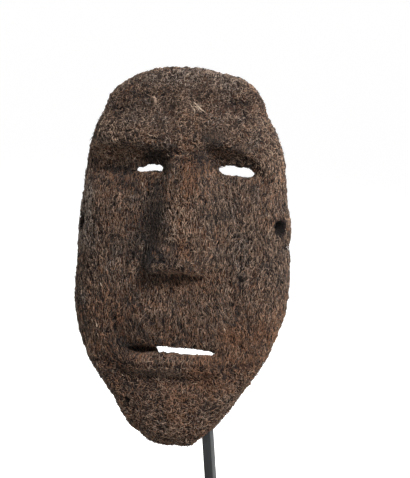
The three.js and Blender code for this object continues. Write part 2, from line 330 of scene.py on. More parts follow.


# Grooves, raised ridges, pits, rusty or weathered places, and painted shade and light: darker where shade
# falls in grooves, pits, sockets and hollows, on the nose's flanks, under the nose and round the mouth and
# jaws; lighter where light falls on ridges, the crown, the nose front, the chin and the side edges.
MARKS = (
    Mark(69, 390, 17, 7, 2.2, 0.45),
    Mark(-63, 381, 13, 12, 1.6, 0.4),
    Mark(-41, 401, 12, 9, 1.4, 0.35),
    Mark(-5, 386, 9, 11, 1.6, 0.3),
    Mark(-55, 369, 32, 7, -0.8, -0.12),
    Mark(22, 376, 17, 11, -1.0, -0.45, warm=0.3),
    Mark(56, 370, 30, 9, -0.5, -0.25),
    Mark(-5, 402, 20, 7, 0.0, 0.12),
    Mark(-8, 352, 22, 7, 0.0, 0.2),
    Mark(20, 416, 70, 10, 0.0, -0.3, warm=-0.4),
    Mark(62, 404, 18, 10, 0.0, -0.25),
    Mark(48, 357, 13, 8, 1.4, 0.9, warm=-0.6),
    Mark(77, 348, 9, 5, 1.0, 0.5, warm=-0.4),
    Mark(-21, 331, 14, 11, 0.0, 0.3, warm=-0.3),
    # Painted shade on the nose's left flank.
    Mark(-18, 261, 14, 52, 0.0, 0.5, 8, -0.3),
    # Painted light in the left socket, under the brow.
    Mark(-66, 337, 40, 10, 0.0, -0.9, warm=0.4),
    Mark(-45, 396, 24, 15, 0.0, 0.15),
    Mark(-50, 148, 20, 30, 0.0, 0.4),
    Mark(-34, 238, 19, 40, 0.0, 0.32),
    Mark(52, 262, 12, 52, 0.0, 0.12),
    Mark(-68, 312.5, 27, 4.5, 0.8, 0.9),
    Mark(37, 328, 11, 17, 0.0, 0.75),
    Mark(-50, 301, 34, 11, 0.0, 0.6),
    Mark(-8, 331, 40, 12, 0.0, 0.38),
    Mark(-11, 220, 19, 12, 0.0, 0.75),
    Mark(-36, 125, 32, 13, 0.0, 0.5),
    Mark(8, 131, 44, 5.5, 0.0, 0.4, 2),
    Mark(64, 131, 12, 12, 0.0, 0.28, warm=0.8),
    Mark(74, 170, 7, 20, 0.0, 0.3),
    Mark(72.4, 164, 3, 4, 2.2, 0.8),
    Mark(65.6, 131, 3, 5, 2.2, 0.8),
    Mark(-55, 56, 4, 6, 2.6, 0.9),
    Mark(11.6, 62.6, 4, 6, 2.6, 0.8),
    Mark(-9.7, 39, 5, 4, 2.4, 0.8),
    Mark(-44, 115, 15, 4.5, 2.0, 0.8),
    Mark(9.2, 238, 8, 12, 1.4, 0.4),
    Mark(-95, 350, 7, 9, 1.6, 0.5),
    Mark(33, 55, 4, 4, 1.4, 0.5),
    Mark(-30, 105, 34, 3, -0.6, -0.1),
    Mark(44, 246, 5, 30, -0.6, -0.2),
    Mark(-5, 88, 30, 4, 1.0, 0.35, 6),
    Mark(-62, 92, 30, 38, 0.0, 0.42),
    Mark(0, 71, 40, 8, 0.0, 0.15),
    Mark(-4, 24, 26, 14, 0.0, -0.4),
    Mark(-4, 213, 6, 2.5, 1.8, 0.5),
    Mark(9, 214, 5, 2.5, 1.8, 0.4),
    Mark(26, 196, 42, 20, 0.0, 0.0, warm=0.55),
    Mark(23, 314, 11, 26, 0.0, 0.14, warm=0.85),
    Mark(18, 262, 17, 30, 0.0, -0.5, warm=0.3),
    Mark(18, 232, 9, 13, 0.8, 0.1, warm=0.8),
    Mark(5, 246, 5, 8, 1.2, 0.35, -12),
    Mark(-60, 292, 20, 14, 0.0, 0.0, warm=0.2),
    Mark(44, 92, 30, 26, 0.0, 0.05, warm=0.8),
    Mark(4, 52, 12, 22, 0.0, -0.42, warm=0.9),
    Mark(-38, 72, 16, 16, 0.0, 0.15),
    Mark(40, 80, 12, 12, 0.0, 0.15),
    Mark(104, 315, 13, 72, 0.0, -0.1, warm=0.1),
    Mark(84, 120, 22, 36, 0.0, 0.14, warm=0.3),
    Mark(-66, 150, 22, 42, 0.0, 0.12, warm=0.1),
    # Painted light on the left edge, which is also greyer.
    Mark(-107, 266, 16, 44, 0.0, -1.0, warm=-0.9),
    Mark(-108, 150, 12, 34, 0.0, 0.1, warm=-0.3),
    Mark(116, 215, 6, 50, 0.0, 0.2),
)


def marked(points: Array, trait: str) -> Array:
    """Adds up one trait of all marks, such as "depth", at each point of the mask's frame."""
    return sum(getattr(mark, trait) * mark.weight(points) for mark in MARKS if getattr(mark, trait))


def take_up(piece: Piece) -> None:
    """Makes one piece the only selected and active one.

    Args:
        piece: The piece.
    """
    bpy.ops.object.select_all(action="DESELECT")
    piece.select_set(True)
    bpy.context.view_layer.objects.active = piece


def settle(piece: Piece) -> None:
    """Moves a piece's place, turn and size into its mesh."""
    take_up(piece)
    bpy.ops.object.transform_apply(location=True, rotation=True, scale=True)


def apply_modifiers(piece: Piece) -> None:
    """Applies all modifiers of a piece in their order.

    Args:
        piece: The piece.
    """
    take_up(piece)
    for modifier in list(piece.modifiers):
        bpy.ops.object.modifier_apply(modifier=modifier.name)


def add_object(name: str, data: bpy.types.ID) -> Piece:
    """Puts an object into the scene.

    Args:
        name: Its name.
        data: Its mesh, light or camera.

    Returns:
        The object.
    """
    made = bpy.data.objects.new(name, data)
    bpy.context.scene.collection.objects.link(made)
    return made


def merged_copy(node: Piece, name: str) -> Piece:
    """Copies a CAD node and merges the copy's loose triangles.

    Args:
        node: The CAD node, which stays as it is.
        name: The copy's name.

    Returns:
        The copy, which rides on nothing yet.
    """
    mesh = node.data.copy()
    mesh.materials.clear()
    copy = add_object(name, mesh)
    take_up(copy)
    bpy.ops.object.mode_set(mode="EDIT")
    bpy.ops.mesh.select_all(action="SELECT")
    bpy.ops.mesh.remove_doubles(threshold=0.00001)
    bpy.ops.object.mode_set(mode="OBJECT")
    return copy


def read(items: bpy.types.bpy_prop_collection, name: str, width: int = 3) -> Array:
    """Reads one property of every item.

    Args:
        items: Vertices, their directions or faces.
        name: The property's name.
        width: How many numbers it has.

    Returns:
        The numbers, one row for each item.
    """
    values = np.empty(len(items) * width, np.float32)
    items.foreach_get(name, values)
    return values.reshape(-1, width).astype(float)


def read_points(mesh: bpy.types.Mesh) -> Array:
    """Reads the places of a mesh's vertices."""
    return read(mesh.vertices, "co")


def write_points(mesh: bpy.types.Mesh, points: Array) -> None:
    """Writes the places of a mesh's vertices."""
    mesh.vertices.foreach_set("co", points.astype(np.float32).ravel())
    mesh.update()


def paint(mesh: bpy.types.Mesh, name: str, colour: Array) -> None:
    """Keeps three numbers for each vertex as a colour attribute of this name."""
    rgba = np.concatenate([colour, np.ones((len(colour), 1))], 1).astype(np.float32)
    mesh.color_attributes.new(name, "FLOAT_COLOR", "POINT").data.foreach_set("color", rgba.ravel())


def smoothstep(low: float, high: float, value: Array) -> Array:
    """Rises smoothly from 0 at low to 1 at high."""
    t = np.clip((value - low) / (high - low), 0, 1)
    return t * t * (3 - 2 * t)


Linkable = "Value | float | Socket"


class Value:
    """A number that varies over a surface, written in Python's own arithmetic."""

    def __init__(self, recipe: "Recipe", socket: Socket) -> None:
        """Wraps an output socket of the recipe's node tree."""
        self.recipe = recipe
        self.socket = socket

    def _math(self, operation: str, *values: Linkable, clamp: bool = False) -> "Value":
        """Adds a Math node on these values."""
        node = self.recipe.node(
            "ShaderNodeMath", {"operation": operation, "use_clamp": clamp}, dict(enumerate(values))
        )
        return Value(self.recipe, node.outputs[0])

    def __add__(self, other: Linkable) -> "Value":
        """The sum."""
        return self._math("ADD", self, other)

    __radd__ = __add__

    def __sub__(self, other: Linkable) -> "Value":
        """The difference."""
        return self._math("SUBTRACT", self, other)

    def __rsub__(self, other: Linkable) -> "Value":
        """The difference, the other way round."""
        return self._math("SUBTRACT", other, self)

    def __mul__(self, other: Linkable) -> "Value":
        """The product."""
        return self._math("MULTIPLY", self, other)

    __rmul__ = __mul__

    def between(self, low: float, high: float) -> "Value":
        """A smooth rise from 0 at low to 1 at high."""
        node = self.recipe.node(
            "ShaderNodeMapRange",
            {"interpolation_type": "SMOOTHSTEP"},
            {"Value": self, "From Min": low, "From Max": high},
        )
        return Value(self.recipe, node.outputs[0])

    def clamped(self) -> "Value":
        """The same number kept from 0 to 1."""
        return self._math("ADD", self, 0.0, clamp=True)


class Recipe:
    """A material's node tree, to which nodes are added by one method."""

    def __init__(self, name: str) -> None:
        """Starts a material with its shader and output alone.

        Args:
            name: The material's name.
        """
        self.material = bpy.data.materials.new(name)
        self.material.use_nodes = True
        self.tree = self.material.node_tree
        self.shader = self.tree.nodes["Principled BSDF"]
        self.place = self.node("ShaderNodeTexCoord").outputs["Object"]

    def node(self, kind: str, settings: dict | None = None, sockets: dict | None = None) -> bpy.types.Node:
        """Adds one node.

        Args:
            kind: The node's type.
            settings: Its settings, which are set first; "stops" are a ramp's colours by place.
            sockets: Values or links of its input sockets, by name or number.

        Returns:
            The node.
        """
        made = self.tree.nodes.new(kind)
        for key, value in (settings or {}).items():
            if key == "stops":
                ramp = made.color_ramp
                while len(ramp.elements) < len(value):
                    ramp.elements.new(0.5)
                for element, (place, colour) in zip(ramp.elements, value):
                    element.position = place
                    element.color = (*colour, 1.0)
            else:
                setattr(made, key, value)
        for key, value in (sockets or {}).items():
            self.feed(made.inputs[key], value)
        return made

    def feed(self, socket: Socket, value: object) -> None:
        """Links a socket, or sets its value.

        Args:
            socket: The input socket.
            value: A number, a colour, another setting or what to link.
        """
        if isinstance(value, Value):
            value = value.socket
        if isinstance(value, Socket):
            self.tree.links.new(value, socket)
        elif isinstance(value, tuple) and len(value) == 3 and socket.type == "RGBA":
            socket.default_value = (*value, 1.0)
        else:
            socket.default_value = value

    def stretched(self, size: Triple, turn: float = 0.0) -> Socket:
        """Object coordinates in grains.

        Args:
            size: The grain's size along each axis, in millimetres.
            turn: How far it is turned about Y, in radians.

        Returns:
            The coordinates.
        """
        turned = self.node(
            "ShaderNodeMapping",
            {"vector_type": "TEXTURE"},
            {"Vector": self.place, "Rotation": (0.0, turn, 0.0)},
        )
        scaled = self.node(
            "ShaderNodeMapping",
            {"vector_type": "POINT"},
            {"Vector": turned.outputs[0], "Scale": tuple(1000.0 / s for s in size)},
        )
        return scaled.outputs[0]

    def noise(self, place: Socket, detail: float, rough: float, bend: float = 0.0) -> Value:
        """Cloudy noise, from 0 to 1, with grains of one unit of place."""
        node = self.node(
            "ShaderNodeTexNoise",
            {"noise_dimensions": "3D"},
            {"Vector": place, "Scale": 1.0, "Detail": detail, "Roughness": rough, "Distortion": bend},
        )
        return Value(self, node.outputs[0])

    def attribute(self, name: str) -> tuple[Value, Value, Value]:
        """The three channels of a colour attribute of the piece."""
        colour = self.node("ShaderNodeAttribute", {"attribute_name": name}).outputs["Color"]
        return tuple(Value(self, c) for c in self.node("ShaderNodeSeparateColor", {}, {0: colour}).outputs)

    def mix(self, factor: Linkable, a: object, b: object, blend: str = "MIX") -> Socket:
        """Mixes two colours by a factor."""
        settings = {"data_type": "RGBA", "blend_type": blend}
        return self.node("ShaderNodeMix", settings, {0: factor, 6: a, 7: b}).outputs[2]

    def ramp(self, value: Value, stops: list[tuple[float, Triple]]) -> Socket:
        """A colour for each value, between stops."""
        return self.node("ShaderNodeValToRGB", {"stops": stops}, {0: value}).outputs[0]

    def bump(self, height: Value, distance: float, strength: float) -> None:
        """Roughens the surface by a height, in metres at 1."""
        sockets = {"Height": height, "Distance": distance, "Strength": strength}
        self.feed(self.shader.inputs["Normal"], self.node("ShaderNodeBump", {}, sockets).outputs[0])

    def surface(self, **sockets: object) -> Material:
        """Feeds the shader.

        Args:
            sockets: Values or links of its sockets, by name with _ for a blank.

        Returns:
            The material.
        """
        for name, value in sockets.items():
            self.feed(self.shader.inputs[name.replace("_", " ")], value)
        return self.material


@dataclass(frozen=True)
class GapShade:
    """Painted shade in the small spaces between fibres, which the bed and the loose fibres share."""

    size: Triple
    low: float
    high: float

    def at(self, recipe: Recipe) -> Value:
        """How deep in a gap each point is, from 0 to 1."""
        return recipe.noise(recipe.stretched(self.size), 1.0, 0.5, 0.5).between(self.high, self.low)


COMBED_GAP_SHADE = GapShade((1.2, 5.0, 2.7), 0.385, 0.455)
MATTED_GAP_SHADE = GapShade((1.6, 5.0, 1.6), 0.38, 0.46)


@dataclass(frozen=True)
class FernBed:
    """The matted root mass under the loose fibres: dark, dry and rough."""

    name: str = "fern_root_bed"
    pit: Triple = (0.0022, 0.0017, 0.0016)
    deep: Triple = (0.0060, 0.0042, 0.0035)
    brown: Triple = (0.0210, 0.0118, 0.0079)
    grey: Triple = (0.0560, 0.0376, 0.0273)
    rust: Triple = (0.0450, 0.0190, 0.0100)

    def material(self) -> Material:
        """Builds the finish.

        Returns:
            The material, which reads the attribute "bed": painted shade of pits, marks and bored holes,
            comb and rust.
        """
        r = Recipe(self.name)
        pit, comb, rust = r.attribute("bed")
        along = r.noise(r.stretched((1.1, 1.1, 7.0), 0.063), 2.0, 0.6, 0.4)
        across = r.noise(r.stretched((1.3, 1.3, 1.3)), 3.0, 0.65, 2.4)
        strands = r.noise(r.stretched((2.8, 2.8, 2.8)), 2.0, 0.6, 3.0)
        grain = comb * along + (1 - comb) * (0.55 * across + 0.45 * strands)
        blotch = r.noise(r.stretched((16.0, 16.0, 22.0)), 3.0, 0.6, 0.6)
        colour = r.ramp(grain, [(0.30, self.pit), (0.44, self.deep), (0.53, self.brown), (0.68, self.grey)])
        colour = r.mix((rust * blotch.between(0.42, 0.66)).clamped(), colour, self.rust)
        colour = r.mix((blotch.between(0.60, 0.42) * 0.45).clamped(), colour, self.deep)
        gap = comb * COMBED_GAP_SHADE.at(r) + (1 - comb) * MATTED_GAP_SHADE.at(r)
        # Painted shade: towards the pit colour in the pits, marks and bored holes, and in the spaces
        # between fibres.
        colour = r.mix((pit * 0.9 + gap).clamped(), colour, self.pit)
        r.bump(grain - 0.6 * pit - 0.5 * gap, 0.0016, 0.9)
        return r.surface(Base_Color=colour, Roughness=0.95, Specular_IOR_Level=0.1)


@dataclass(frozen=True)
class FernStrand:
    """The loose root fibres: each has its own shade between black-brown, rust, brown and straw grey."""

    name: str
    gap_shade: GapShade
    speck: Triple = (1.1, 1.1, 1.1)
    black: Triple = (0.0038, 0.0026, 0.0020)
    brown: Triple = (0.0309, 0.0169, 0.0101)
    tan: Triple = (0.0783, 0.0466, 0.0290)
    grey: Triple = (0.1545, 0.1064, 0.0748)
    straw: Triple = (0.3600, 0.2900, 0.2200)
    rust: Triple = (0.1020, 0.0430, 0.0178)
    weathered: Triple = (0.82, 1.0, 1.22)

    def material(self) -> Material:
        """Builds the finish.

        Returns:
            The material, which reads the attribute "strand": shade (with painted shade and light from the
            marks), rust (weathered below 0) and straw.
        """
        r = Recipe(self.name)
        shade, rust, straw = r.attribute("strand")
        speck = r.noise(r.stretched(self.speck), 2.0, 0.6)
        tone = (shade + 1.2 * (speck - 0.5)).clamped()
        colour = r.ramp(tone, [(0.0, self.black), (0.35, self.brown), (0.65, self.tan), (1.0, self.grey)])
        colour = r.mix((rust * -1.0).clamped(), colour, self.weathered, "MULTIPLY")
        colour = r.mix(rust.clamped(), colour, self.rust)
        colour = r.mix(straw, colour, self.straw)
        # Painted shade: fibres go black over the spaces between fibres, except straw ones.
        colour = r.mix((self.gap_shade.at(r) * (0.95 - straw)).clamped(), colour, self.black)
        return r.surface(Base_Color=colour, Roughness=0.8, Specular_IOR_Level=0.22)


@dataclass(frozen=True)
class BareRoot:
    """Bare dry root, paler than the matted fibres."""

    name: str = "bare_root"
    dark: Triple = (0.0400, 0.0240, 0.0160)
    pale: Triple = (0.1300, 0.0880, 0.0600)

    def material(self) -> Material:
        """Builds the finish.

        Returns:
            The material.
        """
        r = Recipe(self.name)
        grain = r.noise(r.stretched((1.6, 1.6, 1.6)), 3.0, 0.6, 0.8)
        colour = r.mix(grain.between(0.38, 0.62), self.dark, self.pale)
        return r.surface(Base_Color=colour, Roughness=0.8, Specular_IOR_Level=0.3)


@dataclass(frozen=True)
class BlackenedSteel:
    """Mild steel blackened and waxed: near black, with a soft uneven sheen."""

    name: str = "blackened_steel"
    dark: Triple = (0.0040, 0.0043, 0.0047)
    worn: Triple = (0.0100, 0.0103, 0.0110)

    def material(self) -> Material:
        """Builds the finish.

        Returns:
            The material.
        """
        r = Recipe(self.name)
        cloud = r.noise(r.stretched((18.0, 18.0, 30.0)), 3.0, 0.55)
        mill = r.noise(r.stretched((1.6, 1.6, 22.0)), 2.0, 0.5)
        colour = r.mix(cloud.between(0.4, 0.7), self.dark, self.worn)
        r.bump(mill, 0.00008, 0.4)
        rough = 0.52 + 0.18 * cloud
        return r.surface(Base_Color=colour, Roughness=rough, Metallic=0.0, Specular_IOR_Level=0.22)


@dataclass(frozen=True)
class StudioPaper:
    """Plain pale floor paper."""

    name: str = "studio_paper"
    colour: Triple = (0.42, 0.42, 0.42)
    glow: float = 0.8

    def material(self) -> Material:
        """Builds the finish, which glows a little, as a lit studio sweep does."""
        return Recipe(self.name).surface(
            Base_Color=self.colour,
            Roughness=0.95,
            Specular_IOR_Level=0.1,
            Emission_Color=(1.0, 1.0, 1.0),
            Emission_Strength=self.glow,
        )


@dataclass
class MaskBody:
    """The carved block of matted fern root, with its lumps, combed streaks and pits."""

    voxel: float = 0.00172
    lump: float = 1.0
    clump: float = 0.8
    streak: float = 0.5
    pit_depth: float = 1.9
    swell: float = 1.5
    tear: float = 1.7
    comb_top: Span = (342.0, 322.0)
    comb_foot: Span = (64.0, 92.0)
    back_y: float = -12.0
    back_comb: float = 0.7
    smoothing: int = 3
    piece: Piece | None = None

    def build(self, node: Piece) -> None:
        """Meshes the carved block anew and roughens it.

        Args:
            node: The CAD node of the mask.
        """
        body = merged_copy(node, "mask_body")
        remesh = body.modifiers.new("remesh", "REMESH")
        remesh.mode = "VOXEL"
        remesh.voxel_size = self.voxel
        smooth = body.modifiers.new("smooth", "SMOOTH")
        smooth.factor = 0.5
        smooth.iterations = self.smoothing
        apply_modifiers(body)
        self.piece = body
        self.roughen()

    def comb(self, p: Array) -> Array:
        """How far the fibres run up and down at each point: 1 on the cheeks, 0 on brow and chin."""
        face = smoothstep(*self.comb_top, p[:, 2]) * smoothstep(*self.comb_foot, p[:, 2])
        return np.maximum(face, (p[:, 1] > self.back_y) * self.back_comb)

    def pits(self, p: Array) -> Array:
        """How deep in a small pit each point is, from 0 to 1; the pits come in patches."""
        small = smoothstep(0.30, 0.62, PITS.at(p))
        return small * smoothstep(-0.6, 0.3, PIT_PATCHES.at(p))

    def roughen(self) -> None:
        """Moves each vertex along its normal by all the relief, and keeps painted shade of the pits, marks
        and bored holes as a colour.
        """
        mesh = self.piece.data
        p = MASK.from_part(read_points(mesh))
        n = read(mesh.vertex_normals, "vector")
        comb = self.comb(p)
        lumps = LUMPS.at(p)
        clumps = CLUMPS.at(p)
        fine = FINE.at(p)
        streaks = STREAKS.at(p)
        pits = self.pits(p)
        height = self.lump * lumps * (1 - 0.45 * comb)
        height = height + self.clump * clumps * (1 - 0.5 * comb) + 0.35 * fine
        height += self.streak * streaks * comb - self.pit_depth * pits
        height += self.swell * SWELL.at(p) * (1 - 0.6 * comb)
        torn = sum(slit.wall(p, n) for slit in SLITS)
        height += torn * self.tear * (TEARS.at(p) - 0.15)
        height -= marked(p, "depth")
        # The bored holes: new relief inside, and painted shade on the bed there.
        bored = SIDE_HOLE.inside(p, SIDE_HOLE.painted_shade_margin)
        height = np.where(bored, 0.4 + 0.7 * fine + 1.3 * np.abs(n[:, 1]), height)
        height -= RIM_SPLIT.nick(p, n)
        # Painted shade in the pits, the bored holes and the marks, less where a mark paints light.
        dark = 0.85 * pits + marked(p, "painted_shade") + bored
        write_points(mesh, read_points(mesh) + n * (height * MM)[:, None])
        rust = smoothstep(-0.2, 0.7, BED_RUST.at(p)) * 0.5 + 0.25
        rust = rust + 0.6 * marked(p, "warm")
        paint(mesh, "bed", np.stack([np.clip(dark, 0, 1), comb, np.clip(rust, 0, 1)], 1))
        bpy.ops.object.shade_smooth()

    def dress(self) -> None:
        """Gives the block its finish and hands it to the frame."""
        self.piece.data.materials.append(FernBed().material())
        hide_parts("mask")
        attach(self.piece, ROOT)


@dataclass(frozen=True)
class FibreKind:
    """How the fibres of one zone are: sizes in millimetres, spreads in degrees.

    Args:
        length: Shortest and longest.
        thickness: Thinnest and thickest.
        spread: How far their directions stray from the zone's run.
        curl: How far they turn from step to step.
        lift: How far their middle stands off the surface.
        loose: The share whose tip stands off further.
        shade: Darkest and lightest.
        rust: The share of rusty ones.
        steps: How many lengths each is modelled in.
        sway: How far their run sways from place to place.
        stray: The share that lies any way.
    """

    length: Span
    thickness: Span
    spread: float
    curl: float
    lift: float
    loose: float
    shade: Span
    rust: float
    steps: int
    sway: float
    stray: float


KINDS = {
    Grain.COMBED: FibreKind((4, 10), (0.5, 0.95), 18, 8, 1.2, 0.16, (0.0, 1.0), 0.03, 2, 24, 0.13),
    Grain.MATTED: FibreKind((2.5, 6.5), (0.5, 0.95), ANY_WAY, 30, 1.3, 0.18, (0.0, 1.0), 0.03, 3, 0, 0.0),
    Grain.GOUGED: FibreKind((7, 15), (0.8, 1.3), 18, 7, 0.5, 0.03, (0.0, 0.8), 0.15, 2, 12, 0.05),
}


@dataclass(frozen=True)
class FibreZone:
    """A part of the surface and the fibres that lie on it.

    Args:
        name: The piece's name.
        grain: How its fibres lie.
        low: The lowest x, y and z in the mask's frame, in millimetres.
        high: The highest x, y and z.
        per_square_cm: How many fibres lie on a square centimetre.
        facing: -1 for the front and sides, 1 for the back and the hollow.
    """

    name: str
    grain: Grain
    low: Triple
    high: Triple
    per_square_cm: float
    facing: int = -1


@dataclass(frozen=True)
class Tuft:
    """A bunch of fibres that shows in its own place on the face.

    Args:
        x: The middle of its roots to the viewer's right, in the mask's frame, in millimetres.
        z: The middle of its roots above the tip of the chin.
        across: Half the width that its roots cover.
        high: Half the height that they cover.
        count: How many fibres it has.
        length: Shortest and longest.
        turn: Its run, in degrees clockwise from upright.
        spread: How far single fibres stray from that.
        shade: Darkest and lightest.
        straw: How pale its fibres are.
        lift: How far its tips stand off.
    """

    x: float
    z: float
    across: float
    high: float
    count: int
    length: Span
    turn: float
    spread: float
    shade: Span
    straw: float = 0.0
    lift: float = 1.5


TUFTS = (
    Tuft(21, 391, 4, 2.5, 8, (9, 18), 128, 5, (0.8, 1.0), 0.7, 1.3),
    Tuft(24, 382, 8, 3, 16, (10, 18), 130, 6, (0.0, 0.3), 0.0, 1.0),
    Tuft(50, 356, 12, 5, 110, (6, 11), 2, 12, (0.0, 0.6), 0.0, 2.2),
    Tuft(77, 343, 8, 4, 50, (6, 10), 20, 18, (0.0, 0.7), 0.0, 2.0),
    Tuft(-18, 90, 27, 5, 190, (6, 11), -5, 16, (0.0, 0.9), 0.0, 1.7),
    Tuft(-30, 131, 26, 7, 110, (6, 11), 4, 16, (0.1, 0.9), 0.0, 1.6),
    Tuft(2, 249, 4, 2.5, 14, (5, 8), 125, 25, (0.4, 0.9), 0.1, 2.6),
    Tuft(15, 219, 8, 2, 16, (4, 7), 140, 45, (0.2, 0.9), 0.05, 2.4),
    Tuft(-8, 219, 10, 2, 24, (4, 8), 190, 30, (0.3, 0.9), 0.0, 1.8),
    Tuft(-96, 347, 3, 7, 26, (6, 11), -50, 35, (0.2, 0.8), 0.0, 2.8),
    Tuft(-102, 300, 2, 9, 14, (6, 10), -30, 35, (0.2, 0.8), 0.0, 2.4),
)

WIDE = 200.0
ZONES = (
    FibreZone("fibres_crown", Grain.MATTED, (-WIDE, -WIDE, 372), (WIDE, 1, WIDE * 3), 29),
    FibreZone("fibres_brow", Grain.MATTED, (-WIDE, -WIDE, 326), (WIDE, 1, 372), 29),
    FibreZone("fibres_left_cheek", Grain.COMBED, (-WIDE, -WIDE, 200), (-28, 1, 326), 32),
    FibreZone("fibres_nose", Grain.COMBED, (-28, -WIDE, 200), (48, 1, 326), 33),
    FibreZone("fibres_right_cheek", Grain.COMBED, (48, -WIDE, 200), (WIDE, 1, 326), 32),
    FibreZone("fibres_upper_lip", Grain.COMBED, (-WIDE, -WIDE, 100), (WIDE, 1, 200), 32),
    FibreZone("fibres_chin", Grain.MATTED, (-WIDE, -WIDE, -WIDE), (WIDE, 1, 100), 29),
    FibreZone("fibres_back_upper", Grain.GOUGED, (-WIDE, -WIDE, 215), (WIDE, 1, WIDE * 3), 8, 1),
    FibreZone("fibres_back_lower", Grain.GOUGED, (-WIDE, -WIDE, -WIDE), (WIDE, 1, 215), 8, 1),
)


class FibreTemplate:
    """One thin closed fibre, modelled once, whose copies are bent over the carving."""

    def __init__(self, steps: int, sides: int = 3) -> None:
        """Models the fibre: a prism along Z from 0 to 1, cut across so that it can bend.

        Args:
            steps: How many lengths it is cut into.
            sides: How many sides it has.
        """
        self.steps = steps
        bpy.ops.mesh.primitive_cylinder_add(vertices=sides, radius=1.0, depth=1.0, location=(0, 0, 0.5))
        prism = bpy.context.object
        settle(prism)
        bpy.ops.object.mode_set(mode="EDIT")
        for k in range(1, steps):
            bpy.ops.mesh.select_all(action="SELECT")
            bpy.ops.mesh.bisect(plane_co=(0, 0, k / steps), plane_no=(0, 0, 1))
        bpy.ops.object.mode_set(mode="OBJECT")
        mesh = prism.data
        self.points = read_points(mesh)
        self.ring = np.clip(np.rint(self.points[:, 2] * steps).astype(int), 0, steps)
        self.corners = np.array([v for face in mesh.polygons for v in face.vertices])
        self.counts = np.array([len(face.vertices) for face in mesh.polygons])
        bpy.data.objects.remove(prism)

    def copies(
        self, name: str, paths: Array, normals: Array, radii: Array, shades: Array
    ) -> Piece:
        """Copies the fibre along each path and joins the copies to one piece.

        Args:
            name: The piece's name.
            paths: Points along each fibre, as copies by steps + 1 by 3.
            normals: The surface's direction there, in the same shape.
            radii: Half the thickness at each point, as copies by steps + 1.
            shades: Colours of the copies, as copies by 3.

        Returns:
            The piece, whose object is at the origin.
        """
        run = np.gradient(paths, axis=1)
        run /= np.linalg.norm(run, axis=2, keepdims=True) + 1e-12
        side = np.cross(run, normals)
        side /= np.linalg.norm(side, axis=2, keepdims=True) + 1e-12
        over = np.cross(side, run)
        count, each = len(paths), len(self.points)
        ring = self.ring
        points = paths[:, ring] + radii[:, ring, None] * (
            self.points[None, :, 0, None] * side[:, ring] + self.points[None, :, 1, None] * over[:, ring]
        )
        corners = (self.corners[None, :] + each * np.arange(count)[:, None]).ravel()
        counts = np.tile(self.counts, count)
        starts = np.concatenate([[0], np.cumsum(counts)[:-1]])
        mesh = bpy.data.meshes.new(name)
        mesh.vertices.add(count * each)
        mesh.vertices.foreach_set("co", points.astype(np.float32).ravel())
        mesh.loops.add(len(corners))
        mesh.loops.foreach_set("vertex_index", corners.astype(np.int32))
        mesh.polygons.add(len(counts))
        mesh.polygons.foreach_set("loop_start", starts.astype(np.int32))
        mesh.polygons.foreach_set("use_smooth", np.ones(len(counts), bool))
        paint(mesh, "strand", np.repeat(shades, each, 0))
        mesh.update(calc_edges=True)
        return add_object(name, mesh)


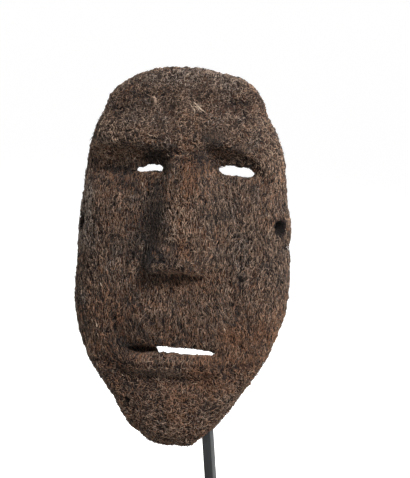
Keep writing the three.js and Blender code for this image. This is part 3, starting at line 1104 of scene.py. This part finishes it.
@dataclass
class FibreCoat:
    """The loose root fibres that lie matted or combed on the carved block."""

    body: MaskBody
    share: float = 1.0
    scatter: float = 0.4
    pit_sink: float = 1.3
    tone: float = 0.96
    tone_bias: Span = (0.85, 0.76)
    blotchy: float = 0.17
    painted_shade_weight: float = 0.6
    cheeks_dark: float = 0.1
    lighter: float = 0.02
    reddish: float = 0.3
    low_rust: float = 0.22
    straw_share: float = 0.002
    pieces: list[Piece] = field(default_factory=list)
    tree: BVHTree = field(init=False)
    centres: Array = field(init=False)
    areas: Array = field(init=False)
    normals: Array = field(init=False)
    places: Array = field(init=False)
    templates: dict[int, FibreTemplate] = field(init=False)

    def build(self) -> None:
        """Scatters the fibres of each zone over the block's faces."""
        faces = self.body.piece.data.polygons
        self.tree = BVHTree.FromObject(self.body.piece, bpy.context.evaluated_depsgraph_get())
        self.centres = read(faces, "center")
        self.areas = read(faces, "area", 1).ravel()
        self.normals = read(faces, "normal")
        self.places = MASK.from_part(self.centres)
        self.templates = {steps: FibreTemplate(steps) for steps in {kind.steps for kind in KINDS.values()}}
        for number, zone in enumerate(ZONES):
            self.pieces.append(self.cover(zone, np.random.default_rng(COAT_SEED + number)))
        self.pieces.append(self.tufts(np.random.default_rng(TUFT_SEED)))

    def cover(self, zone: FibreZone, rng: np.random.Generator) -> Piece:
        """Lays the fibres of one zone.

        Args:
            zone: The zone.
            rng: Its seeded source of chance.

        Returns:
            The zone's piece.
        """
        inside = np.all((self.places >= zone.low) & (self.places < zone.high), 1)
        inside &= (self.normals[:, 1] < 0.25) == (zone.facing < 0)
        inside &= ~(SIDE_HOLE.inside(self.places, SIDE_HOLE.root_margin) | RIM_SPLIT.inside(self.places))
        weights = np.where(inside, self.areas, 0.0)
        total = int(weights.sum() * CM2_PER_M2 * zone.per_square_cm * self.share)
        roots = rng.choice(len(weights), size=total, p=weights / weights.sum())
        kind = KINDS[zone.grain]
        length = rng.uniform(*kind.length, total) * MM
        spread = np.where(rng.random(total) < kind.stray, ANY_WAY, kind.spread)
        sway = kind.sway * SWAY.at(self.places[roots])
        angle = np.radians(rng.uniform(-1, 1, total) * spread + sway)
        curl = np.radians(rng.normal(0, kind.curl, total))
        steps = kind.steps
        start = self.centres[roots] + rng.normal(0, self.scatter * MM, (total, 3))
        paths, normals = self.trace(start, self.normals[roots], angle, curl, length, steps)
        along = MASK.from_part(paths.reshape(-1, 3))
        astray = SIDE_HOLE.inside(along, SIDE_HOLE.reach) | RIM_SPLIT.inside(along)
        smooth = np.all(np.sum(normals[:, 1:] * normals[:, :-1], 2) > -0.1, 1)
        whole = smooth & ~np.any(astray.reshape(total, steps + 1), 1)
        paths, normals, roots, total = paths[whole], normals[whole], roots[whole], int(whole.sum())
        t = np.linspace(0, 1, steps + 1)
        arch = np.sin(math.pi * np.clip(t * 0.9 + 0.05, 0, 1))
        lift = rng.uniform(0.3, 1.0, total)[:, None] * kind.lift * arch[None]
        loose = rng.random(total) < kind.loose
        lift += loose[:, None] * rng.uniform(0.4, 1.8, total)[:, None] * (t ** 2)[None]
        pits = self.body.pits(MASK.from_part(paths.reshape(-1, 3)))
        lift -= self.pit_sink * pits.reshape(total, steps + 1)
        paths += normals * (lift * MM)[:, :, None]
        thick = rng.uniform(*kind.thickness, total)[:, None] * (1.0 - 0.45 * np.abs(2 * t - 1) ** 3)[None]
        shades = self.shades(kind, self.places[roots], rng)
        return self.templates[steps].copies(zone.name, paths, normals, thick * 0.5 * MM, shades)

    def trace(
        self, start: Array, facing: Array, angle: Array, curl: Array, length: Array, steps: int
    ) -> tuple[Array, Array]:
        """Follows the block's surface from each root.

        Args:
            start: The roots, in the part's frame.
            facing: The surface's direction at them.
            angle: Each fibre's run, in radians clockwise from upright.
            curl: How far it turns at each step.
            length: Its length, in metres.
            steps: How many lengths it is modelled in.

        Returns:
            The points along each fibre and the surface's direction there, as copies by steps + 1 by 3.
        """
        paths = np.empty((len(start), steps + 1, 3))
        normals = np.empty_like(paths)
        up, across = MASK.axes()
        for i in range(len(start)):
            point, normal = Vector(start[i]), Vector(facing[i])
            way = up * math.cos(angle[i]) + across * math.sin(angle[i])
            way -= normal * way.dot(normal)
            if way.length < 0.1:
                way = normal.orthogonal()
            way.normalize()
            for k in range(steps + 1):
                found, normal, _, _ = self.tree.find_nearest(point)
                paths[i, k] = found
                normals[i, k] = normal
                way = way - normal * way.dot(normal)
                way.normalize()
                way = Matrix.Rotation(curl[i], 3, normal) @ way
                point = found + way * (length[i] / steps)
        return paths, normals

    def front_at(self, x: float, z: float) -> tuple[Vector, Vector] | None:
        """Where the block's front is at a place of the face and its direction there, or None beside it."""
        found, facing, *_ = self.tree.ray_cast(Vector(MASK.to_part([(x, -300.0, z)])[0]), Vector((0, 1, 0)))
        return (found, facing) if found else None

    def tufts(self, rng: np.random.Generator) -> Piece:
        """Sets the bunches that show in their own places.

        Args:
            rng: Its seeded source of chance.

        Returns:
            The piece of all bunches.
        """
        roots, angle, length, shades, lift = [], [], [], [], []
        for tuft in TUFTS:
            for _ in range(tuft.count):
                r, a = math.sqrt(rng.random()), rng.uniform(0, 2 * math.pi)
                x, z = tuft.x + tuft.across * r * math.cos(a), tuft.z + tuft.high * r * math.sin(a)
                found = self.front_at(x, z)
                if found is None:
                    continue
                roots.append(found)
                angle.append(math.radians(tuft.turn + rng.normal(0, tuft.spread)))
                length.append(rng.uniform(*tuft.length) * MM)
                shades.append((rng.uniform(*tuft.shade), 0.0, tuft.straw * rng.uniform(0.4, 1.0)))
                lift.append(rng.uniform(0.3, 1.0) * tuft.lift)
        start, facing = np.array([r[0] for r in roots]), np.array([r[1] for r in roots])
        curl = np.radians(rng.normal(0, 9, len(start)))
        steps = KINDS[Grain.MATTED].steps
        paths, normals = self.trace(start, facing, np.array(angle), curl, np.array(length), steps)
        t = np.linspace(0, 1, steps + 1)
        rise = 0.5 + np.array(lift)[:, None] * (t ** 1.5)[None]
        paths += normals * (rise * MM)[:, :, None]
        thick = rng.uniform(0.55, 1.0, len(start))[:, None] * (1.0 - 0.4 * t ** 2)[None]
        radii = thick * 0.5 * MM
        return self.templates[steps].copies("fibres_tufts", paths, normals, radii, np.array(shades))

    def shades(self, kind: FibreKind, places: Array, rng: np.random.Generator) -> Array:
        """Chooses the fibres' colours, in blotches, with the marks' painted shade and painted light.

        Args:
            kind: How the fibres are.
            places: Where they start, in the mask's frame.
            rng: The zone's source of chance.

        Returns:
            Shade, rust and straw of each fibre.
        """
        count = len(places)
        blotch = 0.5 + 0.5 * BLOTCHES.at(places)
        patch = 0.5 + 0.5 * PATCHES.at(places)
        shade = self.tone * rng.beta(*self.tone_bias, count) + self.blotchy * blotch * patch
        shade = kind.shade[0] + (kind.shade[1] - kind.shade[0]) * shade
        cheeks = smoothstep(345, 320, places[:, 2]) * smoothstep(60, 120, places[:, 2])
        # Painted shade from the marks, painted light where negative; the cheeks a little darker and all a
        # little lighter.
        shade -= self.painted_shade_weight * marked(places, "painted_shade") + self.cheeks_dark * cheeks - self.lighter
        reddish = smoothstep(0.4, 0.85, 0.5 + 0.5 * REDDISH.at(places))
        low = self.low_rust * smoothstep(205, 150, places[:, 2])
        warm = marked(places, "warm")
        rusty = rng.random(count) < kind.rust + self.reddish * reddish + warm + low
        rust = rusty * rng.uniform(0.2, 0.8, count)
        rust *= 1.0 + 0.15 * np.clip(warm, 0, 1)
        grey = smoothstep(0.0, 0.7, WEATHERED.at(places)) - 2.0 * (warm + low)
        rust = np.where(rust > 0, rust, -np.clip(grey, 0, 1) * rng.uniform(0.3, 1.0, count))
        straw = (rng.random(count) < self.straw_share) * rng.uniform(0.3, 0.8, count)
        return np.stack([np.clip(shade, 0, 1), rust, straw], 1)

    def dress(self) -> None:
        """Gives the fibres their finish and hands them to the frame."""
        finishes = {
            Grain.COMBED: FernStrand("fern_root_strand_combed", COMBED_GAP_SHADE, (0.9, 0.9, 1.7)).material(),
            Grain.MATTED: FernStrand("fern_root_strand_matted", MATTED_GAP_SHADE).material(),
        }
        grains = [zone.grain for zone in ZONES] + [Grain.COMBED]
        for grain, piece in zip(grains, self.pieces):
            piece.data.materials.append(finishes.get(grain, finishes[Grain.COMBED]))
            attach(piece, ROOT)


@dataclass
class Knot:
    """The sawn end of a stout root that shows on the forehead: a pale ring round a darker heart."""

    x: float = -22.0
    z: float = 393.0
    radius: float = 5.4
    ring: float = 1.8
    height: float = 3.0
    sunk: float = 1.4
    sides: int = 14
    eased: float = 0.5
    wear: float = 0.12
    flat: float = 0.86
    proud: float = 0.35
    piece: Piece | None = None

    def build(self, coat: FibreCoat) -> None:
        """Models the root's end and sets it in the forehead.

        Args:
            coat: The coat of fibres, which knows where the surface is.
        """
        found, facing = coat.front_at(self.x, self.z)
        radius, height = self.radius * MM, self.height * MM
        bpy.ops.mesh.primitive_cylinder_add(vertices=self.sides, radius=radius, depth=height)
        knot = bpy.context.object
        knot.name = knot.data.name = "forehead_root_end"
        bpy.ops.object.mode_set(mode="EDIT")
        bpy.ops.mesh.select_all(action="DESELECT")
        bpy.ops.object.mode_set(mode="OBJECT")
        for face in knot.data.polygons:
            face.select = face.normal.z > 0.9
        bpy.ops.object.mode_set(mode="EDIT")
        bpy.ops.mesh.inset(thickness=self.ring * MM, depth=0)
        bpy.ops.mesh.extrude_region_move(TRANSFORM_OT_translate={"value": (0, 0, -self.sunk * MM)})
        bpy.ops.object.mode_set(mode="OBJECT")
        edge = knot.modifiers.new("edge", "BEVEL")
        edge.width = self.eased * MM
        edge.segments = 2
        apply_modifiers(knot)
        points = read_points(knot.data)
        worn = KNOT_WEAR.at(points / MM)
        write_points(knot.data, points * (1 + self.wear * worn)[:, None] * (1.0, self.flat, 1.0))
        knot.rotation_euler = facing.to_track_quat("Z", "Y").to_euler()
        knot.location = found + facing * (self.proud * self.height * MM)
        settle(knot)
        bpy.ops.object.shade_smooth_by_angle(angle=math.radians(40))
        self.piece = knot

    def dress(self) -> None:
        """Gives the root's end its finish and hands it to the frame."""
        self.piece.data.materials.append(BareRoot().material())
        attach(self.piece, ROOT)


@dataclass
class Stand:
    """The display stand: a flat plate foot, a flat bar post and a bent rod cradle."""

    bevel: float = 0.0008
    pieces: list[Piece] = field(default_factory=list)

    def build(self, nodes: dict[str, Piece]) -> None:
        """Models the post and foot with eased edges, and smooths a copy of the cradle.

        Args:
            nodes: The CAD nodes by name.
        """
        for name, form in (("stand_post", "bar"), ("stand_foot", "plate")):
            low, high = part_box(name)
            bpy.ops.mesh.primitive_cube_add(size=1.0, location=(low + high) / 2, scale=high - low)
            piece = bpy.context.object
            piece.name = piece.data.name = f"{name}_{form}"
            settle(piece)
            edge = piece.modifiers.new("edge", "BEVEL")
            edge.width = self.bevel
            edge.segments = 3
            apply_modifiers(piece)
            bpy.ops.object.shade_smooth_by_angle(angle=math.radians(35))
            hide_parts(name)
            self.pieces.append(piece)
        rod = merged_copy(nodes["stand_cradle"], "stand_cradle_rod")
        bpy.ops.object.shade_smooth_by_angle(angle=math.radians(50))
        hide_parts("stand_cradle")
        self.pieces.append(rod)

    def dress(self) -> None:
        """Gives the steel its finish and hands the pieces to the frame."""
        finish = BlackenedSteel().material()
        for piece in self.pieces:
            piece.data.materials.append(finish)
            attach(piece, ROOT)


@dataclass(frozen=True)
class Lamp:
    """A soft studio lamp that points at the mask."""

    place: Triple
    size: float
    watts: float
    spread: float

    def build(self, number: int, aim: Vector) -> None:
        """Hangs the lamp.

        Args:
            number: Its place in the list, for its name.
            aim: The point that it shines at.
        """
        light = bpy.data.lights.new(f"lamp_{number}", "AREA")
        light.shape = "DISK"
        light.size = self.size
        light.energy = self.watts
        light.spread = self.spread
        lamp = add_object(light.name, light)
        lamp.location = self.place
        lamp.rotation_euler = (aim - Vector(self.place)).to_track_quat("-Z", "Y").to_euler()


@dataclass
class Studio:
    """Pale floor, soft light and the camera at the photograph's angle."""

    floor_size: float = 60.0
    azimuth: float = 12.5
    elevation: float = 9.5
    roll: float = 3.6
    distance: float = 2.9
    aim_right: float = 0.0208
    aim_up: float = 0.3407
    picture_height: int = 478
    pixel: float = 0.00112
    horizon: float = 0.95
    zenith: float = 0.35
    lamps: tuple[Lamp, ...] = (
        Lamp((1.78, -1.66, 2.1), 1.3, 26.5, 0.65),
        Lamp((0.9, 2.2, 1.9), 0.9, 5.0, 0.7),
        Lamp((-2.3, 0.35, 1.3), 1.2, 4.0, 0.75),
    )

    def build(self) -> None:
        """Lays the floor, hangs the lamps and sets up the camera."""
        bpy.ops.mesh.primitive_plane_add(size=self.floor_size, location=(0, 0, -0.0002))
        floor = bpy.context.object
        floor.name = "floor"
        floor.data.materials.append(StudioPaper().material())
        settle(floor)
        self.sky()
        bpy.context.scene.view_settings.view_transform = "Standard"
        for number, lamp in enumerate(self.lamps):
            lamp.build(number, Vector((0.0, 0.0, self.aim_up)))
        self.camera()

    def sky(self) -> None:
        """Lights the studio all round: white at the height of the floor, and dimmer overhead."""
        world = bpy.data.worlds.new("studio")
        bpy.context.scene.world = world
        world.use_nodes = True
        tree = world.node_tree
        place = tree.nodes.new("ShaderNodeTexCoord")
        split = tree.nodes.new("ShaderNodeSeparateXYZ")
        fall = tree.nodes.new("ShaderNodeMapRange")
        fall.interpolation_type = "SMOOTHSTEP"
        rise = {"From Min": 0.0, "From Max": 0.7, "To Min": self.horizon, "To Max": self.zenith}
        for socket, value in rise.items():
            fall.inputs[socket].default_value = value
        tree.links.new(place.outputs["Generated"], split.inputs[0])
        tree.links.new(split.outputs["Z"], fall.inputs["Value"])
        tree.links.new(fall.outputs[0], tree.nodes["Background"].inputs["Strength"])
        tree.nodes["Background"].inputs["Color"].default_value = (1.0, 1.0, 1.0, 1.0)

    def camera(self) -> None:
        """Sets the camera, turned with the mask as the photograph shows it."""
        a, e, r = (math.radians(v) for v in (self.azimuth, self.elevation, self.roll))
        away = Vector((math.sin(a) * math.cos(e), -math.cos(a) * math.cos(e), math.sin(e)))
        right = Vector((math.cos(a), math.sin(a), 0.0))
        up = right.cross(-away)
        right_turned = right * math.cos(r) - up * math.sin(r)
        up_turned = right * math.sin(r) + up * math.cos(r)
        place = Vector((0.0, 0.0, self.aim_up)) + right * self.aim_right + away * self.distance
        lens = bpy.data.cameras.new("camera")
        lens.sensor_width = SENSOR_MM
        lens.lens = SENSOR_MM * self.distance / (self.picture_height * self.pixel)
        lens.clip_end = 200.0
        camera = add_object("camera", lens)
        turn = Matrix((right_turned, up_turned, away)).transposed().to_4x4()
        camera.matrix_world = Matrix.Translation(place) @ turn
        bpy.context.scene.camera = camera


def main() -> None:
    """Builds the pieces in order and reports each one."""
    logging.basicConfig(level=logging.INFO, format="%(message)s")
    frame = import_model()
    body = MaskBody()
    body.build(frame["nodes"]["mask"])
    body.dress()
    LOG.info("mask body: %d faces", len(body.piece.data.polygons))
    coat = FibreCoat(body, share=1.0)
    coat.build()
    coat.dress()
    knot = Knot()
    knot.build(coat)
    knot.dress()
    LOG.info("%s: %d faces", knot.piece.name, len(knot.piece.data.polygons))
    for piece in coat.pieces:
        LOG.info("%s: %d faces", piece.name, len(piece.data.polygons))
    stand = Stand()
    stand.build(frame["nodes"])
    stand.dress()
    LOG.info("stand: %s", ", ".join(piece.name for piece in stand.pieces))
    Studio().build()


if __name__ == "__main__":
    main()
